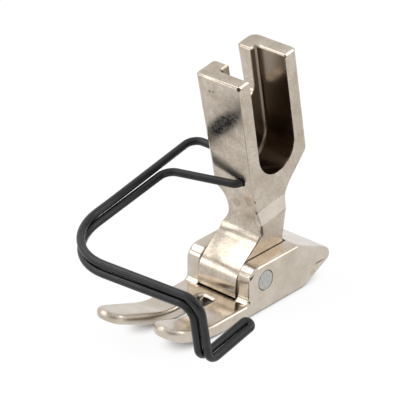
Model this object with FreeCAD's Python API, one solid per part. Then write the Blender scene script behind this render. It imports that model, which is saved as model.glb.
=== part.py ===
import FreeCAD, Part
import math
import os

from FreeCAD import Vector

# Hinged presser foot with a bent-wire finger guard, millimetres, +Z up.
# Origin: on the underside of the sole, half-way across it, straight below the hinge pin.
# +Y runs towards the heel, the toes point along -Y, +X is the side with the open bar channel.

# Hinge
pin_height = 4.55            # pin axis above the underside of the sole
pin_diameter = 3.0
pin_bevel = 0.15
pin_running_clearance = 0.05  # between the pin and the bore of the shank
lean_deg = 9.47              # the shank stands tipped towards the toes, its nose on the plate

# Sole: plate, two toes, two ears and a heel, one casting
sole_half_width = 5.86
plate_thickness = 1.95
slot_width = 2.4             # needle slot between the toes
slot_centre_x = -0.1
slot_rear_y = -5.1
slot_taper = 0.04            # the right wall draws in this much per millimetre towards the tips
slot_end_radius = 0.4
left_toe_tip_y = -22.05
right_toe_tip_y = -18.3
toe_rise_deg = 23.8          # underside of a toe, past its bend
toe_bend_start_y = -7.6
toe_bend_radius = 22.0
toe_top_rise_deg = 20.0
toe_top_bend_start_y = -9.6
toe_top_bend_radius = 12.0
toe_tip_radius = 2.3         # outer corners, in plan
left_tip_inner_radius = 1.9
right_tip_inner_radius = 2.6
ear_top_above_pin = 2.45
ear_front_y = -3.1
ear_corner_radius = 2.1
ear_foot_radius = 0.8
fork_width = 6.9             # room between the ears
fork_wall_radius = 7.35      # rear wall of the fork, swept about the pin
heel_crease_y = 6.9
heel_crease_radius = 0.6
heel_plan_radius = 4.0       # where the sides start to draw in
heel_top_slope_deg = 24.4
heel_rear_y = 13.75
heel_rear_half_width = 5.2
heel_rise_start_y = 8.45
heel_rise_deg = 24.7
heel_rise_radius = 3.5
heel_tip_radius = 1.1
sole_edge_radius = 0.5       # worn all round the outline, above and below

# Shank, in its own upright frame with the pin axis at the origin
shank_top = 28.3
shank_right_x = 2.8
shank_left_x = -4.87         # at the top
shank_draft_deg = 2.4        # the left face leans in going down
shank_front_y = 2.5
shank_rear_y = 14.35
shank_top_bevel = 0.25
front_left_radius = 0.6
rear_left_radius = 1.3
rear_right_radius = 0.7
channel_width = 7.3          # takes the presser bar
channel_centre_y = 8.3
channel_wall_x = -2.3        # inner face of the wall behind the bar
channel_bottom = 11.9
channel_corner_radius = 0.55   # less where the strip beside the screw slot is narrow
screw_slot_width = 4.45
screw_slot_front_y = 6.35
screw_slot_bottom = 21.2
screw_slot_corner = 1.6
screw_slot_rim_radius = 0.7
neck_scallop_radius = 3.65
neck_scallop_x = -6.0
neck_scallop_z = 7.4
neck_front_y = 2.97
neck_step_top = 13.2
neck_step_bottom = 9.6
neck_step_radius = 10.0
block_half_width = 3.375
block_shoulder_top = 8.0     # the right flank widens from here down to the shoulder bottom
block_shoulder_bottom = 6.1
block_bottom = -2.0
nose_y = -3.72
nose_slope_deg = 27.5
nose_slope_z = 4.77          # height of the sloping front at the neck's front face
nose_slope_radius = 3.4
nose_radius = 1.5
nose_corner_radius = 0.4
block_rear_y = 6.4
block_rear_corner = 0.5
rear_knee_y, rear_knee_z = 6.75, 2.35
rear_knee_radius = 3.0
rear_waist_y = 8.9
rear_waist_radius = 6.0
rear_slope_deg = 38.4
rear_shoulder_z = 12.76
rear_shoulder_radius = 2.1

# Return spring, standing in a blind bore behind the pin
spring_centre_y = 3.9
spring_outer_diameter = 2.4
spring_wire = 0.35
spring_turns = 6
spring_bore_clearance = 0.15
spring_bore_top = 2.6
spring_seat_gap = 0.03

# Finger guard, one bent wire, in the shank's frame: corner points and bend radii
wire_diameter = 1.12
wire_hole_clearance = 0.05
front_hole_clearance = 0.15
wire_end_gap = 0.1           # between each wire end and the bottom of its hole
front_hole_x, front_hole_z, front_hole_depth = 0.95, 12.75, 2.9
side_hole_y, side_hole_z, side_hole_depth = 6.25, 13.57, 1.5
guard_corners = [
    (front_hole_x, 1.90, front_hole_z, 1.0),
    (-9.50, -0.65, 12.73, 2.0),
    (-9.30, -23.15, 12.55, 8.0),
    (13.76, -21.75, 12.64, 2.0),
    (13.74, -21.72, 4.34, 1.5),
    (13.79, -12.55, 4.74, 0.58),
    (14.82, -12.55, 4.17, 0.58),
    (14.90, -21.09, 3.89, 1.5),
    (14.77, -21.09, 13.66, 2.5),
    (-9.78, -22.66, 13.75, 8.3),
    (-10.00, -11.30, 13.72, 60.0),
    (-10.72, side_hole_y, side_hole_z, 1.7),
]

pin_axis = Vector(0, 0, pin_height)
reach = 60.0                 # longer than anything here, for cutting tools


def tangent_path(corners):
    """Edges of straight runs joined by tangent arcs, from (point, bend radius) pairs."""
    edges = []
    last = corners[0][0]
    for (before, _), (point, radius), (after, _) in zip(corners, corners[1:], corners[2:]):
        into = (point - before).normalize()
        out = (after - point).normalize()
        half_turn = into.getAngle(out) / 2
        tangent = radius * math.tan(half_turn)
        if tangent < 1e-6:
            edges.append(Part.LineSegment(last, point).toShape())
            last = point
            continue
        start = point - into * tangent
        end = point + out * tangent
        sag = radius / math.cos(half_turn) - radius
        middle = point + (out - into).normalize() * sag
        if start.distanceToPoint(last) > 1e-6:
            edges.append(Part.LineSegment(last, start).toShape())
        edges.append(Part.Arc(start, middle, end).toShape())
        last = end
    final = corners[-1][0]
    if final.distanceToPoint(last) > 1e-6:
        edges.append(Part.LineSegment(last, final).toShape())
    return edges


def outline_face(corners, place):
    """Closed face from (a, b, corner radius) triples; place makes a 3-D point of a, b."""
    points = [(place(a, b), radius) for a, b, radius in corners]
    middle = (points[0][0] + points[-1][0]) * 0.5
    ring = [(middle, 0)] + points + [(middle, 0)]
    return Part.Face(Part.Wire(tangent_path(ring)))


def side_prism(corners, x_from, x_to):
    """Outline in the Y-Z plane, drawn out along X."""
    face = outline_face(corners, lambda y, z: Vector(x_from, y, z))
    return face.extrude(Vector(x_to - x_from, 0, 0))


def front_prism(corners, y_from, y_to):
    """Outline in the X-Z plane, drawn out along Y."""
    face = outline_face(corners, lambda x, z: Vector(x, y_from, z))
    return face.extrude(Vector(0, y_to - y_from, 0))


def plan_prism(corners, z_from, z_to):
    """Outline in the X-Y plane, drawn out along Z."""
    face = outline_face(corners, lambda x, y: Vector(x, y, z_from))
    return face.extrude(Vector(0, 0, z_to - z_from))


def block(x_from, x_to, y_from, y_to, z_from, z_to):
    """Box between two corners."""
    size = (x_to - x_from, y_to - y_from, z_to - z_from)
    return Part.makeBox(*size, Vector(x_from, y_from, z_from))


def rod_x(radius, x_from, x_to, y=0.0, z=0.0):
    """Round bar along X."""
    return Part.makeCylinder(radius, x_to - x_from, Vector(x_from, y, z), Vector(1, 0, 0))


def edges_where(shape, test):
    """Edges whose middle point passes the test."""
    found = []
    for edge in shape.Edges:
        if edge.Length > 1e-4:
            first, last = edge.ParameterRange
            if test(edge.valueAt((first + last) / 2), edge):
                found.append(edge)
    return found


def tilt_to_rest(shape):
    """Take a shape from the shank's upright frame to its place over the sole."""
    placed = shape.copy()
    placed.rotate(Vector(0, 0, 0), Vector(1, 0, 0), lean_deg)
    placed.translate(pin_axis)
    return placed


def toe_bottom_bend_y():
    return toe_bend_start_y - toe_bend_radius * math.tan(math.radians(toe_rise_deg) / 2)


def toe_top_bend_y():
    return toe_top_bend_start_y - toe_top_bend_radius * math.tan(math.radians(toe_top_rise_deg) / 2)


def sole_profile():
    """Side view of the whole sole: ears, heel, underside and upturned toes."""
    ear_top = pin_height + ear_top_above_pin
    rise = math.tan(math.radians(toe_rise_deg))
    top_rise = math.tan(math.radians(toe_top_rise_deg))
    tip_y = min(left_toe_tip_y, right_toe_tip_y) - 1
    top_slope = math.tan(math.radians(heel_top_slope_deg))
    heel_rise = math.tan(math.radians(heel_rise_deg))
    apex_y = (ear_top + heel_crease_y * top_slope + heel_rise_start_y * heel_rise) / (top_slope + heel_rise)
    apex_z = (apex_y - heel_rise_start_y) * heel_rise
    return [
        (ear_front_y, plate_thickness, ear_foot_radius),
        (ear_front_y, ear_top, ear_corner_radius),
        (heel_crease_y, ear_top, heel_crease_radius),
        (apex_y, apex_z, heel_tip_radius),
        (heel_rise_start_y, 0, heel_rise_radius),
        (toe_bottom_bend_y(), 0, toe_bend_radius),
        (tip_y, (toe_bottom_bend_y() - tip_y) * rise, 0),
        (tip_y, plate_thickness + (toe_top_bend_y() - tip_y) * top_rise, 0),
        (toe_top_bend_y(), plate_thickness, toe_top_bend_radius),
    ]


def toe_tip_radii(toe_width, inner_radius):
    """Outer and inner corner radius of a toe's tip, smaller where the toe is too narrow for them."""
    share = min(1, 0.95 * toe_width / (toe_tip_radius + inner_radius))
    return toe_tip_radius * share, inner_radius * share


def sole_plan():
    """Top view of the sole with the needle slot and both toe tips."""
    wide = sole_half_width
    slot_left = slot_centre_x - slot_width / 2
    slot_right = slot_centre_x + slot_width / 2
    slot_right_tip = slot_right - slot_taper * (slot_rear_y - right_toe_tip_y)
    left_outer, left_inner = toe_tip_radii(wide + slot_left, left_tip_inner_radius)
    right_outer, right_inner = toe_tip_radii(wide - slot_right_tip, right_tip_inner_radius)
    return [
        (wide, heel_crease_y, heel_plan_radius),
        (heel_rear_half_width, reach, 0),
        (-heel_rear_half_width, reach, 0),
        (-wide, heel_crease_y, heel_plan_radius),
        (-wide, left_toe_tip_y, left_outer),
        (slot_left, left_toe_tip_y, left_inner),
        (slot_left, slot_rear_y, slot_end_radius),
        (slot_right, slot_rear_y, slot_end_radius),
        (slot_right_tip, right_toe_tip_y, right_inner),
        (wide, right_toe_tip_y, right_outer),
    ]


def runs_round_outline(middle, edge):
    """True on the edges that go round the sole, where its side view meets its plan."""
    first, last = edge.ParameterRange
    span = edge.valueAt(last) - edge.valueAt(first)
    across = abs(span.y) < 1e-6 and abs(span.z) < 1e-6
    upright = abs(span.x) < 1e-6 and abs(span.y) < 1e-6
    return not across and not upright


def make_sole():
    wide = sole_half_width + 1
    body = side_prism(sole_profile(), -wide, wide)
    body = body.common(plan_prism(sole_plan(), -1, reach)).removeSplitter().Solids[0]
    body = body.makeFillet(sole_edge_radius, edges_where(body, runs_round_outline))
    half_fork = fork_width / 2
    fork = rod_x(fork_wall_radius, -half_fork, half_fork, 0, pin_height)
    fork = fork.fuse(block(-half_fork, half_fork, -reach, 0, -1, reach))
    fork = fork.common(block(-half_fork, half_fork, ear_front_y - 1, reach, plate_thickness, reach))
    body = body.cut(fork)
    body = body.cut(rod_x(pin_diameter / 2, -wide, wide, 0, pin_height))
    return body.removeSplitter()


def make_hinge_pin():
    pin = rod_x(pin_diameter / 2, -sole_half_width, sole_half_width, 0, pin_height)
    ends = [edge for edge in pin.Edges if edge.Curve.TypeId == "Part::GeomCircle"]
    return pin.makeChamfer(pin_bevel, ends)


def shank_profile():
    """Side view of the shank in its upright frame."""
    nose_rise = math.tan(math.radians(nose_slope_deg))
    rear_rise = math.tan(math.radians(rear_slope_deg))
    nose_top = nose_slope_z - (neck_front_y - nose_y) * nose_rise
    waist_rise = rear_shoulder_z - (shank_rear_y - rear_waist_y) * rear_rise
    return [
        (shank_front_y, shank_top, 0),
        (shank_front_y, neck_step_top, neck_step_radius),
        (neck_front_y, neck_step_bottom, neck_step_radius),
        (neck_front_y, nose_slope_z, nose_slope_radius),
        (nose_y, nose_top, nose_radius),
        (nose_y, block_bottom, nose_corner_radius),
        (block_rear_y, block_bottom, block_rear_corner),
        (rear_knee_y, rear_knee_z, rear_knee_radius),
        (rear_waist_y, waist_rise, rear_waist_radius),
        (shank_rear_y, rear_shoulder_z, rear_shoulder_radius),
        (shank_rear_y, shank_top, 0),
    ]


def upper_blank():
    """Upright block of the clamp end: drafted left face and rounded upright corners."""
    draft = math.tan(math.radians(shank_draft_deg))
    bottom = block_shoulder_bottom
    left_low = shank_left_x + (shank_top - bottom) * draft

    def ring(left, z):
        corners = [
            (shank_right_x, shank_front_y, 0),
            (shank_right_x, shank_rear_y, rear_right_radius),
            (left, shank_rear_y, rear_left_radius),
            (left, shank_front_y, front_left_radius),
        ]
        return outline_face(corners, lambda x, y: Vector(x, y, z)).OuterWire

    return Part.makeLoft([ring(left_low, bottom), ring(shank_left_x, shank_top)], True, True)


def lower_blank():
    """Knuckle that sits between the ears, with the shoulder of its right flank."""
    corners = [
        (-block_half_width, block_bottom, 0),
        (block_half_width, block_bottom, 0),
        (block_half_width, block_shoulder_bottom, 0),
        (shank_right_x, block_shoulder_top, 0),
        (-block_half_width, block_shoulder_top, 0),
    ]
    return front_prism(corners, nose_y - 1, shank_rear_y)


def bar_channel():
    """Round-bottomed channel for the presser bar, open to the right and at the top."""
    radius = channel_width / 2
    floor_centre = channel_bottom + radius
    front = channel_centre_y - radius
    slot = block(channel_wall_x, reach, front, front + channel_width, floor_centre, reach)
    return slot.fuse(rod_x(radius, channel_wall_x, reach, channel_centre_y, floor_centre))


def screw_slot():
    """Slot through the channel's wall for the clamp screw, open at the top."""
    rear = screw_slot_front_y + screw_slot_width
    corners = [
        (screw_slot_front_y, reach, 0),
        (screw_slot_front_y, screw_slot_bottom, screw_slot_corner),
        (rear, screw_slot_bottom, screw_slot_corner),
        (rear, reach, 0),
    ]
    return side_prism(corners, -reach, channel_wall_x + 0.5)


def wire_holes():
    """Two blind holes that hold the ends of the guard wire."""
    front_radius = wire_diameter / 2 + front_hole_clearance
    front_start = Vector(front_hole_x, nose_y, front_hole_z)
    front_length = shank_front_y + front_hole_depth - nose_y
    front = Part.makeCylinder(front_radius, front_length, front_start, Vector(0, 1, 0))
    side_radius = wire_diameter / 2 + wire_hole_clearance
    side_length = left_face_x(side_hole_z) + side_hole_depth + reach
    side_start = Vector(-reach, side_hole_y, side_hole_z)
    side = Part.makeCylinder(side_radius, side_length, side_start, Vector(1, 0, 0))
    return front.fuse(side)


def spring_bore():
    radius = spring_outer_diameter / 2 + spring_bore_clearance
    start = Vector(0, spring_centre_y, block_bottom - 1)
    return Part.makeCylinder(radius, spring_bore_top - start.z, start)


def left_face_x(z):
    """Drafted left face of the shank at a height in its own frame."""
    return shank_left_x + (shank_top - z) * math.tan(math.radians(shank_draft_deg))


def in_channel_corner(middle, edge):
    """Inner rear corner of the bar channel; the fillet runs on round the channel's floor."""
    rear = channel_centre_y + channel_width / 2
    return abs(middle.x - channel_wall_x) < 1e-4 and abs(middle.y - rear) < 1e-4


def on_screw_slot_rim(middle, edge):
    """Outer rim of the screw slot, on the left face."""
    rear = screw_slot_front_y + screw_slot_width
    inside = screw_slot_front_y - 0.01 < middle.y < rear + 0.01
    below_top = screw_slot_bottom - 0.01 < middle.z < shank_top - 0.01
    return inside and below_top and abs(middle.x - left_face_x(middle.z)) < 1e-3


def on_shank_top(middle, edge):
    """Edges round the flat tops of the two prongs."""
    return all(abs(vertex.Z - shank_top) < 1e-4 for vertex in edge.Vertexes)


def make_shank():
    body = upper_blank().fuse(lower_blank())
    body = body.common(side_prism(shank_profile(), -reach, reach))
    scallop_start = Vector(neck_scallop_x, -reach, neck_scallop_z)
    body = body.cut(Part.makeCylinder(neck_scallop_radius, 2 * reach, scallop_start, Vector(0, 1, 0)))
    body = body.cut(bar_channel())
    body = body.cut(screw_slot())
    body = body.removeSplitter().Solids[0]
    slot_strip = channel_centre_y + channel_width / 2 - screw_slot_front_y - screw_slot_width
    corner = min(channel_corner_radius, 0.5 * slot_strip)
    body = body.makeFillet(corner, edges_where(body, in_channel_corner))
    body = body.makeFillet(screw_slot_rim_radius, edges_where(body, on_screw_slot_rim))
    body = body.makeChamfer(shank_top_bevel, edges_where(body, on_shank_top))
    body = body.cut(rod_x(pin_diameter / 2 + pin_running_clearance, -reach, reach))
    body = body.cut(wire_holes())
    body = body.cut(spring_bore())
    return tilt_to_rest(body)


def make_hinge_spring():
    """Compression spring between the top of its bore and the plate."""
    coil_radius = (spring_outer_diameter - spring_wire) / 2
    lean = math.radians(lean_deg)
    toe_side_y = spring_centre_y - spring_outer_diameter / 2
    plate_drop = pin_height - plate_thickness
    foot = -(plate_drop + toe_side_y * math.sin(lean)) / math.cos(lean)
    low = foot + spring_wire / 2 + spring_seat_gap
    high = spring_bore_top - spring_wire / 2 - spring_seat_gap
    helix = Part.makeHelix((high - low) / spring_turns, high - low, coil_radius)
    ring = Part.Wire(Part.makeCircle(spring_wire / 2, Vector(coil_radius, 0, 0), Vector(0, 1, 0)))
    coil = Part.Wire(helix).makePipeShell([ring], True, True)
    coil.translate(Vector(0, spring_centre_y, low))
    return tilt_to_rest(coil)


def make_finger_guard():
    """One wire: out of the front hole, round the toes, down, back, and home to the side hole."""
    start = Vector(front_hole_x, shank_front_y + front_hole_depth - wire_end_gap, front_hole_z)
    end_x = left_face_x(side_hole_z) + side_hole_depth - wire_end_gap
    end = Vector(end_x, side_hole_y, side_hole_z)
    corners = [(start, 0)]
    corners += [(Vector(x, y, z), radius) for x, y, z, radius in guard_corners]
    corners += [(end, 0)]
    path = Part.Wire(tangent_path(corners))
    ring = Part.Wire(Part.makeCircle(wire_diameter / 2, start, Vector(0, -1, 0)))
    wire = path.makePipeShell([ring], True, False)
    expected = math.pi * wire_diameter ** 2 / 4 * path.Length
    print("guard wire length %.2f, volume against section times length %.5f"
          % (path.Length, wire.Volume / expected))
    return tilt_to_rest(wire)


def main():
    os.makedirs("parts", exist_ok=True)
    parts = {
        "sole": make_sole(),
        "hinge_pin": make_hinge_pin(),
        "shank": make_shank(),
        "hinge_spring": make_hinge_spring(),
        "finger_guard": make_finger_guard(),
    }
    for name, shape in parts.items():
        solid = shape.Solids[0] if shape.ShapeType != "Solid" and len(shape.Solids) == 1 else shape
        box = solid.BoundBox
        print("%s: %d solid, valid %s, volume %.2f, x %.2f..%.2f y %.2f..%.2f z %.2f..%.2f" % (
            name, len(shape.Solids), solid.isValid(), solid.Volume,
            box.XMin, box.XMax, box.YMin, box.YMax, box.ZMin, box.ZMax))
        solid.exportStep("parts/%s.step" % name)


main()
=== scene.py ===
import math

import bpy
from mathutils import Matrix, Vector


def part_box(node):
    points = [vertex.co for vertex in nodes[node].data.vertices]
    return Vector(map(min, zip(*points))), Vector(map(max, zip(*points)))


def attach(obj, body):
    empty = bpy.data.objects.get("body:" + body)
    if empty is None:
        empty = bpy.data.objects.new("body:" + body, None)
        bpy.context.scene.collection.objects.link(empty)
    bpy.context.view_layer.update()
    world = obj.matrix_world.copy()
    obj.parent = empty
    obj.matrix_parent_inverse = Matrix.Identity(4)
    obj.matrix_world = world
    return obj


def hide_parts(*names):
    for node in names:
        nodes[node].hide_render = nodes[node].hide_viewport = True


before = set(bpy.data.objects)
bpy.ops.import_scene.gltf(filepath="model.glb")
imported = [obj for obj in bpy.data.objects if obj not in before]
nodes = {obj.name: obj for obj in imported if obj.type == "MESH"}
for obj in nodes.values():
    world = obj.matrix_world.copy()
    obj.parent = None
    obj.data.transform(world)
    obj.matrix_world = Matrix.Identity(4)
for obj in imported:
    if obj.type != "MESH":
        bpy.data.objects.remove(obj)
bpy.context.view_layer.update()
mm = 0.001                     # Blender works in metres, every size below is in millimetres
pinCentre = (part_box("hinge_pin")[0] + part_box("hinge_pin")[1]) / 2
shankLean = math.radians(9.47)  # the shank stands tipped towards the toes


def linearColor(hexText):      # sRGB hex to the linear RGBA that a socket takes
    shares = [int(hexText[start:start + 2], 16) / 255 for start in (1, 3, 5)]
    return [s / 12.92 if s <= 0.04045 else ((s + 0.055) / 1.055) ** 2.4 for s in shares] + [1.0]


# Adds a node with its settings and inputs. Inputs are a dictionary by socket name, or a list for the
# sockets that the node shows, in their order. Each is a number, a hex colour, a socket, or a node.
def addNode(tree, kind, inputs, **settings):
    node = tree.nodes.new("ShaderNode" + kind)
    for name, value in settings.items():
        setattr(node, name, value)
    if isinstance(inputs, dict):
        filled = [(node.inputs[name], value) for name, value in inputs.items()]
    else:
        filled = zip([socket for socket in node.inputs if socket.enabled], inputs)
    for socket, value in filled:
        if isinstance(value, bpy.types.Node):
            value = next(output for output in value.outputs if output.enabled)
        if isinstance(value, bpy.types.NodeSocket):
            tree.links.new(value, socket)
        else:
            socket.default_value = linearColor(value) if isinstance(value, str) else value
    return node


def newMaterial(name):         # empty material, with its tree
    material = bpy.data.materials.new(name)
    material.use_nodes = True
    material.node_tree.nodes.clear()
    return material, material.node_tree


def millimetres(tree, origin=(0, 0, 0), turn=0.0):   # surface point in mm from an origin, turned about X
    point = addNode(tree, "TexCoord", []).outputs["Object"]
    return addNode(tree, "Mapping", {
        "Vector": point, "Location": origin, "Rotation": (turn, 0, 0), "Scale": (mm, mm, mm)},
        vector_type="TEXTURE")


# Marks are ellipsoids in the casting: middle and half sizes in mm, tilted about X and turned about Y
# in degrees, with a tone that the plate takes. Flecked ones show between the grains.
def markShare(tree, place, mark, grain, look):
    turns = (math.radians(mark.get("tilt", 0)), math.radians(mark.get("turn", 0)), 0)
    local = addNode(tree, "Mapping", {
        "Vector": place, "Location": mark["middle"], "Rotation": turns, "Scale": mark["half"]},
        vector_type="TEXTURE")
    away = addNode(tree, "VectorMath", [local], operation="LENGTH")
    share = addNode(tree, "MapRange", [away, 1 - mark.get("fade", 0.5), 1, mark["share"], 0],
                    interpolation_type="SMOOTHSTEP")
    if mark.get("flecked"):
        flecks = addNode(tree, "MapRange", [grain, *look["fleckSpan"], 1, look["fleckLeft"]])
        share = addNode(tree, "Math", [share, flecks], operation="MULTIPLY")
    return share


# Nickel plate over a cast foot: warm grey, tumbled to a soft mirror.
# The plate is thin: the casting's grain and pores show through it, and dirt, with painted shade, darkens the
# recesses.
plate = {
    "patchSpan": (0.35, 0.65),  # a span is the part of a noise's 0 to 1 over which a change runs
    "roughSpan": (0.3, 0.7),
    "grainSpan": (0.36, 0.60),
    "fleckSpan": (0.42, 0.58),
    "fleckLeft": 0.15,         # share of a flecked mark that is left between its flecks
    "recess": 2.2,             # mm that dirt and painted shade reach out of a corner
    "openSpan": (0.10, 0.55),  # open sky over which dirt and painted shade thin out
    "dirtAndShade": 0.80,
    "grainDetail": 2,
    "grainRoughness": 0.6,
    "patchDetail": 3,
    "patchRoughness": 0.55,
}
soleNickel = {
    **plate,
    "origin": (0, 0, 0),
    "lean": 0.0,
    "bright": "#cdc4b8",
    "dull": "#bfb4a5",
    "stain": "#a08d76",
    # Dark tone of the dirt and painted shade in the recesses
    "grimeAndShade": "#2e241b",
    "edge": 0.35,              # mm, the worn radius of a crisp edge, larger at the toe tips and the heel
    "rounder": [("Y", -12, -16, 1.1), ("Y", 7, 12, 0.8)],
    "roughLow": 0.14,
    "roughHigh": 0.20,
    "patch": 3.2,              # mm across a lighter or duller patch
    "grain": 0.30,             # mm across a grain of the casting
    "grainDepth": 0.0015,      # mm
    "grainShare": 0.12,
    "marks": [
        # Painted shade inside the needle slot, brown, and fainter painted shade between the toes
        {"middle": (-0.1, -7.0, 0.7), "half": (1.45, 3.6, 1.35), "fade": 0.12, "share": 0.85,
         "tone": "#4a3c30"},
        {"middle": (-0.1, -14.0, 2.3), "half": (1.45, 8.5, 2.6), "fade": 0.2, "share": 0.35,
         "tone": "#7d6b57"},
        # Slit in the heel's side, with a dull patch below it
        {"middle": (5.75, 11.35, 2.7), "half": (0.6, 1.25, 0.16), "share": 0.8, "tone": "#5d4b3a"},
        {"middle": (5.8, 9.9, 1.6), "half": (0.6, 0.9, 0.7), "share": 0.35, "tone": "#a8987f"},
    ],
}
shankNickel = {
    **plate,
    "origin": pinCentre,
    "lean": shankLean,
    "bright": "#cac0b3",
    "dull": "#b5aa9b",
    "stain": "#8f7d66",
    # Dark tone of the dirt and painted shade in the recesses
    "grimeAndShade": "#2b221a",
    "edge": 0.12,
    "rounder": [],
    "roughLow": 0.18,
    "roughHigh": 0.27,
    "patch": 2.4,
    "grain": 0.34,
    "grainDepth": 0.003,
    "grainShare": 0.26,
    "marks": [
        # Slanting dark patch on the front, a grey veil under black grains
        {"middle": (-0.65, 2.5, 21.65), "half": (4.9, 0.8, 1.6), "turn": -42, "share": 0.5, "fade": 0.6,
         "tone": "#6c6b66"},
        {"middle": (-0.65, 2.5, 21.65), "half": (4.7, 0.8, 1.45), "turn": -42, "share": 0.9, "fade": 0.55,
         "tone": "#34373a", "flecked": True},
        # Two specks above it, and a row of grains beside the edge
        {"middle": (-2.58, 2.5, 26.11), "half": (0.22, 0.4, 0.26), "share": 0.8, "tone": "#5f5142"},
        {"middle": (-1.95, 2.5, 26.23), "half": (0.22, 0.4, 0.20), "share": 0.8, "tone": "#5f5142"},
        {"middle": (2.55, 2.5, 26.4), "half": (0.16, 0.4, 0.8), "share": 0.8,
         "tone": "#5a4c3e", "flecked": True},
        # Stains on the neck
        {"middle": (-0.7, 2.95, 8.6), "half": (1.0, 0.6, 0.8), "share": 0.45, "tone": "#917c62"},
        {"middle": (1.5, 2.9, 9.6), "half": (0.9, 0.6, 1.2), "share": 0.45, "tone": "#917c62"},
        # Pits and dark lines down the right edge of the front, and on down the knuckle's slope
        {"middle": (2.78, 2.55, 11.05), "half": (0.24, 0.34, 0.30), "share": 0.95, "tone": "#2e241b"},
        {"middle": (2.78, 2.80, 9.87), "half": (0.22, 0.30, 0.24), "share": 0.95, "tone": "#2e241b"},
        {"middle": (2.98, 2.97, 7.3), "half": (0.26, 0.30, 1.5), "turn": -16.8, "share": 0.95,
         "tone": "#2b2119"},
        {"middle": (3.38, 2.9, 5.5), "half": (0.13, 0.40, 1.4), "share": 0.85, "tone": "#3a2e24"},
        {"middle": (3.38, 1.0, 3.75), "half": (0.10, 3.2, 0.25), "tilt": 27.5, "share": 0.7,
         "tone": "#4a3c2f"},
        {"middle": (2.80, 2.5, 18.0), "half": (0.07, 0.12, 9.0), "share": 0.45, "tone": "#6d6154"},
        # Painted dark reflection on the top corners of the prongs
        {"middle": (2.75, 2.55, 28.1), "half": (0.42, 0.42, 0.36), "fade": 0.3, "share": 0.95,
         "tone": "#241c16"},
        {"middle": (2.75, 12.0, 28.15), "half": (0.30, 0.35, 0.3), "share": 0.9, "tone": "#3a2e24"},
        # Painted reflection of light on the shoulder, a smudge on the knuckle's nose, and a dull rim of the
        # screw slot
        {"middle": (3.08, 5.5, 7.05), "half": (0.8, 7.0, 1.1), "fade": 0.1, "share": 0.55,
         "tone": "#e4dbcf"},
        {"middle": (1.5, -3.72, -0.3), "half": (1.1, 0.5, 0.35), "share": 0.5,
         "tone": "#6b5742", "flecked": True},
        {"middle": (-1.72, 5.58, 28.3), "half": (0.45, 0.45, 0.3), "share": 0.7,
         "tone": "#6f675c", "flecked": True},
    ],
    # Painted shade in the channel: brown, darker lower down. Its floor and its mouth are at x, its axis at y,
    # and the middle of its round bottom at z.
    "channel": {"x": (-2.42, 2.72), "y": 8.3, "z": 15.55, "radius": 3.71, "top": 28.3, "bottom": 12,
                "wallFade": 0.02, "floorFade": 0.05, "mouthFade": 0.25,
                "upper": "#8f8375", "lower": "#6e6155"},
}


def channelShare(tree, place, channel):   # 1 inside the round-bottomed channel, 0 outside it
    axes = addNode(tree, "SeparateXYZ", [place]).outputs
    across = addNode(tree, "Math", [axes["Y"], channel["y"]], operation="SUBTRACT")
    height = addNode(tree, "Math", [axes["Z"], channel["z"]], operation="SUBTRACT")
    below = addNode(tree, "Math", [height, 0], operation="MINIMUM")
    offset = addNode(tree, "CombineXYZ", {"Y": across, "Z": below})
    away = addNode(tree, "VectorMath", [offset], operation="LENGTH")
    radius, fade = channel["radius"], channel["wallFade"]
    inner, outer = channel["x"]
    within = addNode(tree, "MapRange", [away, radius - fade, radius + fade, 1, 0])
    mouth = addNode(tree, "MapRange", [axes["X"], outer - channel["mouthFade"], outer, 1, 0])
    within = addNode(tree, "Math", [within, mouth], operation="MULTIPLY")
    ground = addNode(tree, "MapRange", [axes["X"], inner - channel["floorFade"], inner, 0, 1])
    return addNode(tree, "Math", [within, ground], operation="MULTIPLY")


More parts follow.
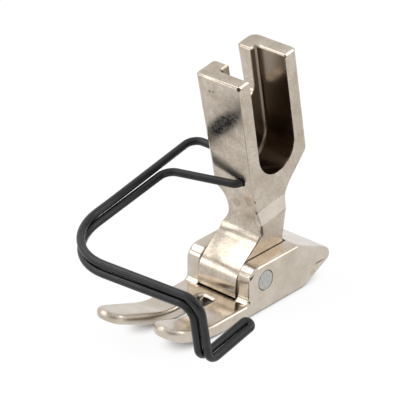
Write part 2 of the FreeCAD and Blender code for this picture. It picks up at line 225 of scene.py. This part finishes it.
def nickelPlate(name, look):
    material, tree = newMaterial(name)
    place = millimetres(tree, look["origin"], look["lean"])
    patches = addNode(tree, "TexNoise", {
        "Vector": place, "Scale": 1 / look["patch"], "Detail": look["patchDetail"],
        "Roughness": look["patchRoughness"]})
    grain = addNode(tree, "TexNoise", {
        "Vector": place, "Scale": 1 / look["grain"], "Detail": look["grainDetail"],
        "Roughness": look["grainRoughness"]})
    share = addNode(tree, "MapRange", [patches, *look["patchSpan"]])
    color = addNode(tree, "Mix", [share, look["dull"], look["bright"]], data_type="RGBA")
    share = addNode(tree, "MapRange", [grain, *look["grainSpan"], look["grainShare"], 0])
    color = addNode(tree, "Mix", [share, color, look["stain"]], data_type="RGBA")
    for mark in look["marks"]:
        share = markShare(tree, place, mark, grain, look)
        color = addNode(tree, "Mix", [share, color, mark["tone"]], data_type="RGBA")
    channel = look.get("channel")
    if channel:
        # Painted shade: inside the channel the colour turns brown, darker towards the bottom.
        height = addNode(tree, "SeparateXYZ", [place]).outputs["Z"]
        share = addNode(tree, "MapRange", [height, channel["bottom"], channel["top"]])
        channelShade = addNode(tree, "Mix", [share, channel["lower"], channel["upper"]], data_type="RGBA")
        share = channelShare(tree, place, channel)
        color = addNode(tree, "Mix", [share, color, channelShade], data_type="RGBA")
    # Dirt and painted shade: the colour darkens towards the dark tone where ambient occlusion closes in.
    recess = addNode(tree, "AmbientOcclusion", {"Distance": look["recess"] * mm}, samples=16)
    share = addNode(tree, "MapRange", [recess.outputs["AO"], *look["openSpan"], look["dirtAndShade"], 0])
    color = addNode(tree, "Mix", [share, color, look["grimeAndShade"]], data_type="RGBA")
    rough = addNode(tree, "MapRange", [patches, *look["roughSpan"], look["roughHigh"], look["roughLow"]])
    edge = look["edge"] * mm
    for axis, near, far, radius in look["rounder"]:
        depth = addNode(tree, "SeparateXYZ", [place]).outputs[axis]
        rounded = addNode(tree, "MapRange", [depth, near, far, 0, radius * mm])
        edge = addNode(tree, "Math", [edge, rounded], operation="MAXIMUM")
    worn = addNode(tree, "Bevel", {"Radius": edge}, samples=8)
    bump = addNode(tree, "Bump", {
        "Height": grain, "Strength": 1, "Distance": look["grainDepth"] * mm, "Normal": worn})
    metal = addNode(tree, "BsdfPrincipled", {
        "Base Color": color, "Metallic": 1, "Roughness": rough, "Normal": bump})
    addNode(tree, "OutputMaterial", {"Surface": metal})
    return material


# Plain steel: the pin with its speckled cut ends and a painted shade ring round their edge, and the drawn
# spring.
steel = {"gritDetail": 3, "gritRoughness": 0.6, "gritSpan": (0.35, 0.65)}
pinSteel = {**steel, "light": "#c9c9c5", "dark": "#a3a4a0", "rim": "#2c2722", "rough": 0.5,
            "grit": 0.28, "gritDepth": 0.012, "rimRadius": (1.34, 1.46)}
springSteel = {**steel, "light": "#a4a5a8", "dark": "#77787c", "rough": 0.3,
               "grit": 0.2, "gritDepth": 0.002}


def groundSteel(name, look):
    material, tree = newMaterial(name)
    place = millimetres(tree, pinCentre)
    grit = addNode(tree, "TexNoise", {
        "Vector": place, "Scale": 1 / look["grit"], "Detail": look["gritDetail"],
        "Roughness": look["gritRoughness"]})
    share = addNode(tree, "MapRange", [grit, *look["gritSpan"]])
    color = addNode(tree, "Mix", [share, look["dark"], look["light"]], data_type="RGBA")
    # Painted shade: a dark ring round the pin's ends, where the gap about the pin lies.
    if "rim" in look:
        across = addNode(tree, "VectorMath", [place, (0, 1, 1)], operation="MULTIPLY")
        radius = addNode(tree, "VectorMath", [across], operation="LENGTH")
        share = addNode(tree, "MapRange", [radius, *look["rimRadius"]])
        color = addNode(tree, "Mix", [share, color, look["rim"]], data_type="RGBA")
    bump = addNode(tree, "Bump", {"Height": grit, "Strength": 1, "Distance": look["gritDepth"] * mm})
    metal = addNode(tree, "BsdfPrincipled", {
        "Base Color": color, "Metallic": 1, "Roughness": look["rough"], "Normal": bump})
    addNode(tree, "OutputMaterial", {"Surface": metal})
    return material


# Black stoved coating on the guard wire: charcoal satin, slightly orange-peeled, rubbed here and there.
wireBlack = {
    "body": "#101012",
    "rubbed": "#1f1f21",
    "roughHigh": 0.39,
    "roughLow": 0.28,
    "roughSpan": (0.3, 0.7),
    "shine": 0.42,             # specular level
    "peel": 0.5,               # mm across a ripple of the coating
    "peelDepth": 0.002,
    "rub": 2.5,                # mm across a rubbed patch
    "rubSpan": (0.45, 0.70),
    "rubDetail": 4,
    "rubRoughness": 0.65,
}


def blackCoating(name, look):
    material, tree = newMaterial(name)
    place = millimetres(tree)
    rubs = addNode(tree, "TexNoise", {
        "Vector": place, "Scale": 1 / look["rub"], "Detail": look["rubDetail"],
        "Roughness": look["rubRoughness"]})
    share = addNode(tree, "MapRange", [rubs, *look["rubSpan"]])
    color = addNode(tree, "Mix", [share, look["body"], look["rubbed"]], data_type="RGBA")
    ripples = addNode(tree, "TexNoise", {"Vector": place, "Scale": 1 / look["peel"]})
    bump = addNode(tree, "Bump", {"Height": ripples, "Strength": 1, "Distance": look["peelDepth"] * mm})
    rough = addNode(tree, "MapRange", [rubs, *look["roughSpan"], look["roughHigh"], look["roughLow"]])
    coat = addNode(tree, "BsdfPrincipled", {
        "Base Color": color, "Roughness": rough, "IOR": 1.5, "Specular IOR Level": look["shine"],
        "Normal": bump})
    addNode(tree, "OutputMaterial", {"Surface": coat})
    return material


# Finger guard, one bent wire. The photograph shows no light between its two strands, so the dressed
# wire runs them a little nearer than the solid's. Corners and bend radii in mm, in the shank's upright
# frame, whose origin is the pin's middle.
guardWire = {
    "diameter": 1.13,
    "sides": 26,
    "bendStep": 7,             # degrees between two rings of a bend
    "smoothBelow": 40,         # degrees
    "mergeWithin": 0.001,
    "start": (0.95, 5.3, 12.75),
    "corners": [
        ((0.95, 1.90, 12.75), 1.0), ((-9.50, -0.65, 12.73), 2.0), ((-9.30, -23.15, 12.55), 8.0),
        ((13.76, -21.75, 12.64), 2.0), ((13.74, -21.72, 4.36), 1.5), ((13.79, -12.55, 4.74), 0.58),
        ((14.80, -12.55, 4.20), 0.58), ((14.88, -21.20, 3.93), 1.5), ((14.73, -21.20, 13.63), 2.5),
        ((-9.76, -22.69, 13.725), 8.3), ((-9.97, -11.30, 13.675), 60.0), ((-10.72, 6.25, 13.57), 1.7),
    ],
    "end": (-2.85, 6.25, 13.57),
}


def bentWire(name, wire):
    turn = Matrix.Rotation(shankLean, 4, "X")
    stops = [pinCentre + turn @ Vector(point) * mm
             for point in [wire["start"]] + [point for point, _ in wire["corners"]] + [wire["end"]]]
    radii = [radius * mm for _, radius in wire["corners"]]
    here = stops[0]
    bpy.ops.object.select_all(action="DESELECT")
    bpy.ops.mesh.primitive_circle_add(
        vertices=wire["sides"], radius=wire["diameter"] / 2 * mm, location=here,
        rotation=(stops[1] - here).to_track_quat("Z", "Y").to_euler())
    guard = bpy.context.active_object
    guard.name = name
    bpy.ops.object.mode_set(mode="EDIT")
    for before, corner, after, radius in zip(stops, stops[1:], stops[2:], radii):
        into = (corner - before).normalized()
        out = (after - corner).normalized()
        half = into.angle(out) / 2
        bendStart = corner - into * radius * math.tan(half)
        middle = corner + (out - into).normalized() * radius / math.cos(half)
        bpy.ops.mesh.extrude_region_move(TRANSFORM_OT_translate={"value": bendStart - here})
        steps = max(2, math.ceil(math.degrees(2 * half) / wire["bendStep"]))
        bpy.ops.mesh.spin(steps=steps, angle=-2 * half, center=middle, axis=into.cross(out).normalized())
        here = corner + out * radius * math.tan(half)
    bpy.ops.mesh.extrude_region_move(TRANSFORM_OT_translate={"value": stops[-1] - here})
    bpy.ops.mesh.select_all(action="DESELECT")
    bpy.ops.mesh.select_non_manifold()     # the rings at both cut ends
    bpy.ops.mesh.fill_holes(sides=0)
    bpy.ops.mesh.select_all(action="SELECT")
    bpy.ops.mesh.remove_doubles(threshold=wire["mergeWithin"] * mm)
    bpy.ops.mesh.normals_make_consistent(inside=False)
    bpy.ops.object.mode_set(mode="OBJECT")
    bpy.ops.object.transform_apply(location=True, rotation=True, scale=True)
    bpy.ops.object.shade_smooth_by_angle(angle=math.radians(wire["smoothBelow"]))
    return guard


guard = bentWire("guardWire", guardWire)
guard.data.materials.append(blackCoating("stovedBlackWire", wireBlack))
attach(guard, "shank")
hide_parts("finger_guard")
print("guard wire with", len(guard.data.polygons), "faces")

# Knuckle: in the photograph its slope and its front meet in a round as wide as a barrel about the pin.
# The solid's arc there is tighter, so the dressed shank carries its points out to the wide one.
knuckle = {
    "front": -3.72,            # mm, in the shank's upright frame
    "corner": 1.287,           # mm, height where the slope and the front would meet
    "slope": 27.5,             # degrees that the slope falls
    "arc": 1.5,                # mm, the solid's radius
    "barrel": 4.0,             # mm, the photograph's
    "onArc": 0.006,            # mm and degrees that a point of the arc may be off it
    "onArcTurn": 0.3,
    "mergeWithin": 0.0005,
}


def roundedShank(name, look):
    solid = nodes["shank"].data
    bpy.ops.object.select_all(action="DESELECT")
    casting = bpy.data.objects.new(name, solid.copy())
    bpy.context.collection.objects.link(casting)
    casting.select_set(True)
    bpy.context.view_layer.objects.active = casting
    kept = casting.data.attributes.new("solidNormal", "FLOAT_VECTOR", "CORNER")
    for corner, normal in zip(kept.data, solid.corner_normals):
        corner.vector = normal.vector
    bpy.ops.object.mode_set(mode="EDIT")
    bpy.ops.mesh.select_all(action="SELECT")
    bpy.ops.mesh.remove_doubles(threshold=look["mergeWithin"] * mm)
    bpy.ops.object.mode_set(mode="OBJECT")
    lean = Matrix.Rotation(shankLean, 4, "X")
    tangent = math.tan(math.radians(90 - look["slope"]) / 2)
    tight, wide = (Vector((0, look["front"] + radius, look["corner"] - radius * tangent))
                   for radius in (look["arc"], look["barrel"]))
    moved = 0
    for vertex in casting.data.vertices:
        point = lean.inverted() @ (vertex.co - pinCentre) / mm
        arm = Vector((0, point.y, point.z)) - tight
        angle = math.degrees(math.atan2(-arm.y, arm.z))
        onTurn = look["slope"] - look["onArcTurn"] < angle < 90 + look["onArcTurn"]
        if abs(arm.length - look["arc"]) < look["onArc"] and onTurn:
            arm = wide + arm.normalized() * look["barrel"]
            vertex.co = pinCentre + lean @ Vector((point.x, arm.y, arm.z)) * mm
            moved += 1
    # The wide arc has the tight one's directions, so the solid's normals stay true.
    bpy.ops.object.shade_smooth()
    kept = casting.data.attributes["solidNormal"]
    normals = [corner.vector.copy() for corner in kept.data]
    casting.data.attributes.remove(kept)
    casting.data.normals_split_custom_set(normals)
    print("knuckle points carried out:", moved)
    return casting


shankCasting = roundedShank("shankCasting", knuckle)
shankCasting.data.materials.clear()
shankCasting.data.materials.append(nickelPlate("castNickelShank", shankNickel))
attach(shankCasting, "shank")
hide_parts("shank")

finishes = {
    "sole": nickelPlate("tumbledNickelSole", soleNickel),
    "hinge_pin": groundSteel("groundSteelPin", pinSteel),
    "hinge_spring": groundSteel("drawnSpringWire", springSteel),
}
for nodeName, finish in finishes.items():
    shown = nodes[nodeName]
    shown.data.materials.clear()
    shown.data.materials.append(finish)
print("finishes on", len(finishes), "pieces")


def seenRays(tree):            # 1 for the rays that look at the background, straight or in a reflection
    path = addNode(tree, "LightPath", []).outputs
    seen = addNode(tree, "Math", [path["Is Camera Ray"], path["Is Glossy Ray"]], operation="MAXIMUM")
    return addNode(tree, "Math", [seen, path["Is Transmission Ray"]], operation="MAXIMUM")


# Floor: white, so bright to the eye that only the foot's shadow shows on it.
floorLook = {
    "size": 2400,
    "color": "#f4f4f4",
    "glow": 0.92,
    "share": 0.90,             # of the glow in open places
    "contact": 2.5,            # mm from the foot, within which the glow gives way to shadow
    "openSpan": (0.10, 0.60),
}


def litWhite(name, look):
    material, tree = newMaterial(name)
    matte = addNode(tree, "BsdfDiffuse", {"Color": look["color"]})
    glow = addNode(tree, "Emission", {"Color": "#ffffff", "Strength": look["glow"] / look["share"]})
    under = addNode(tree, "AmbientOcclusion", {"Distance": look["contact"] * mm}, samples=12)
    lit = addNode(tree, "MapRange", [under.outputs["AO"], *look["openSpan"], 0, look["share"]])
    share = addNode(tree, "Math", [seenRays(tree), lit], operation="MULTIPLY")
    paper = addNode(tree, "MixShader", [share, matte, glow])
    addNode(tree, "OutputMaterial", {"Surface": paper})
    return material


bpy.ops.object.select_all(action="DESELECT")
bpy.ops.mesh.primitive_plane_add(size=floorLook["size"] * mm, location=(0, 0, 0))
floor = bpy.context.active_object
floor.name = "floor"
floor.data.materials.append(litWhite("whitePaper", floorLook))

# World: white behind the foot and in its reflections, with the unlit side of the room in front of it,
# which is what draws the dark lines on rounded metal. Its heading is in degrees, its sizes are shares
# of a sphere of radius 1.
worldLook = {
    "seen": 1.0,
    "fill": 0.8,
    "unlit": {"heading": 40, "halfWidth": 0.77, "height": 0.27, "halfHeight": 0.30, "level": 0.12,
              "fade": 0.35, "sideFade": 0.1},
}


def softRoom(name, look):
    world = bpy.data.worlds.new(name)
    world.use_nodes = True
    tree = world.node_tree
    tree.nodes.clear()
    unlit = look["unlit"]
    heading = math.radians(unlit["heading"])
    toward = addNode(tree, "TexCoord", []).outputs["Generated"]
    directions = ((math.cos(heading), math.sin(heading), 0), (math.sin(heading), -math.cos(heading), 0),
                  (0, 0, 1))
    sideways, ahead, height = (
        addNode(tree, "VectorMath", [toward, direction], operation="DOT_PRODUCT") for direction in directions)
    sideways = addNode(tree, "Math", [sideways, unlit["halfWidth"]], operation="DIVIDE")
    above = addNode(tree, "Math", [height, unlit["height"]], operation="SUBTRACT")
    above = addNode(tree, "Math", [above, unlit["halfHeight"]], operation="DIVIDE")
    spread = addNode(tree, "CombineXYZ", {"X": sideways, "Y": above})
    away = addNode(tree, "VectorMath", [spread], operation="LENGTH")
    inFront = addNode(tree, "MapRange", [ahead, 0, unlit["sideFade"]])
    dark = addNode(tree, "MapRange", [away, 1 - unlit["fade"], 1, 1, 0], interpolation_type="SMOOTHSTEP")
    dark = addNode(tree, "Math", [inFront, dark], operation="MULTIPLY")
    straight = addNode(tree, "LightPath", []).outputs["Is Camera Ray"]
    reflected = addNode(tree, "Math", [1, straight], operation="SUBTRACT")
    dark = addNode(tree, "Math", [dark, reflected], operation="MULTIPLY")
    seenLevel = addNode(tree, "MapRange", [dark, 0, 1, look["seen"], unlit["level"]])
    strength = addNode(tree, "Mix", [seenRays(tree), look["fill"], seenLevel], data_type="FLOAT")
    glow = addNode(tree, "Background", {"Color": "#ffffff", "Strength": strength})
    addNode(tree, "OutputWorld", {"Surface": glow})
    return world


bpy.context.scene.world = softRoom("softRoom", worldLook)

# Softboxes: direction from the pin, distance and size in mm, and the level of their white.
softboxes = {
    "keySoftbox": {"toward": (-0.59, -0.24, 0.77), "distance": 220, "size": (140, 80), "level": 2.6},
    "lowSoftbox": {"toward": (-0.62, -0.70, 0.36), "distance": 240, "size": (150, 60), "level": 2.0},
    "rimSoftbox": {"toward": (0.53, 0.56, 0.64), "distance": 230, "size": (110, 110), "level": 2.0},
}
for lampName, lamp in softboxes.items():
    way = Vector(lamp["toward"]).normalized()
    bpy.ops.object.light_add(type="AREA", location=pinCentre + way * lamp["distance"] * mm,
                             rotation=way.to_track_quat("Z", "Y").to_euler())
    light = bpy.context.active_object
    light.name = lampName
    light.data.shape = "RECTANGLE"
    light.data.size, light.data.size_y = (side * mm for side in lamp["size"])
    light.data.energy = lamp["level"] * math.pi * light.data.size * light.data.size_y
print("floor, world and", len(softboxes), "softboxes")

# Camera: where the photograph was taken from, in degrees and mm from the pin's middle.
view = {
    "azimuth": 41.80,
    "elevation": 27.92,
    "roll": -0.158,
    "toRight": -3.421,
    "toUp": 7.904,
    "back": 395.75,
    "lens": 252.13,
    "sensor": 36.0,
    "nearest": 50,
    "farthest": 10000,
}
azimuth, elevation, roll = (math.radians(view[angle]) for angle in ("azimuth", "elevation", "roll"))
back = Vector((math.sin(azimuth) * math.cos(elevation), -math.cos(azimuth) * math.cos(elevation),
               math.sin(elevation)))
levelRight = Vector((math.cos(azimuth), math.sin(azimuth), 0))
upright = back.cross(levelRight)
right = levelRight * math.cos(roll) + upright * math.sin(roll)
up = upright * math.cos(roll) - levelRight * math.sin(roll)
eye = pinCentre + (right * view["toRight"] + up * view["toUp"] + back * view["back"]) * mm
aim = Matrix((right, up, back)).transposed()
bpy.ops.object.camera_add(location=eye, rotation=aim.to_euler())
camera = bpy.context.active_object
camera.data.sensor_width = view["sensor"]
camera.data.lens = view["lens"]
camera.data.clip_start = view["nearest"] * mm
camera.data.clip_end = view["farthest"] * mm
bpy.context.scene.camera = camera
bpy.context.scene.view_settings.view_transform = "Standard"
print("camera", [round(c, 4) for c in eye])
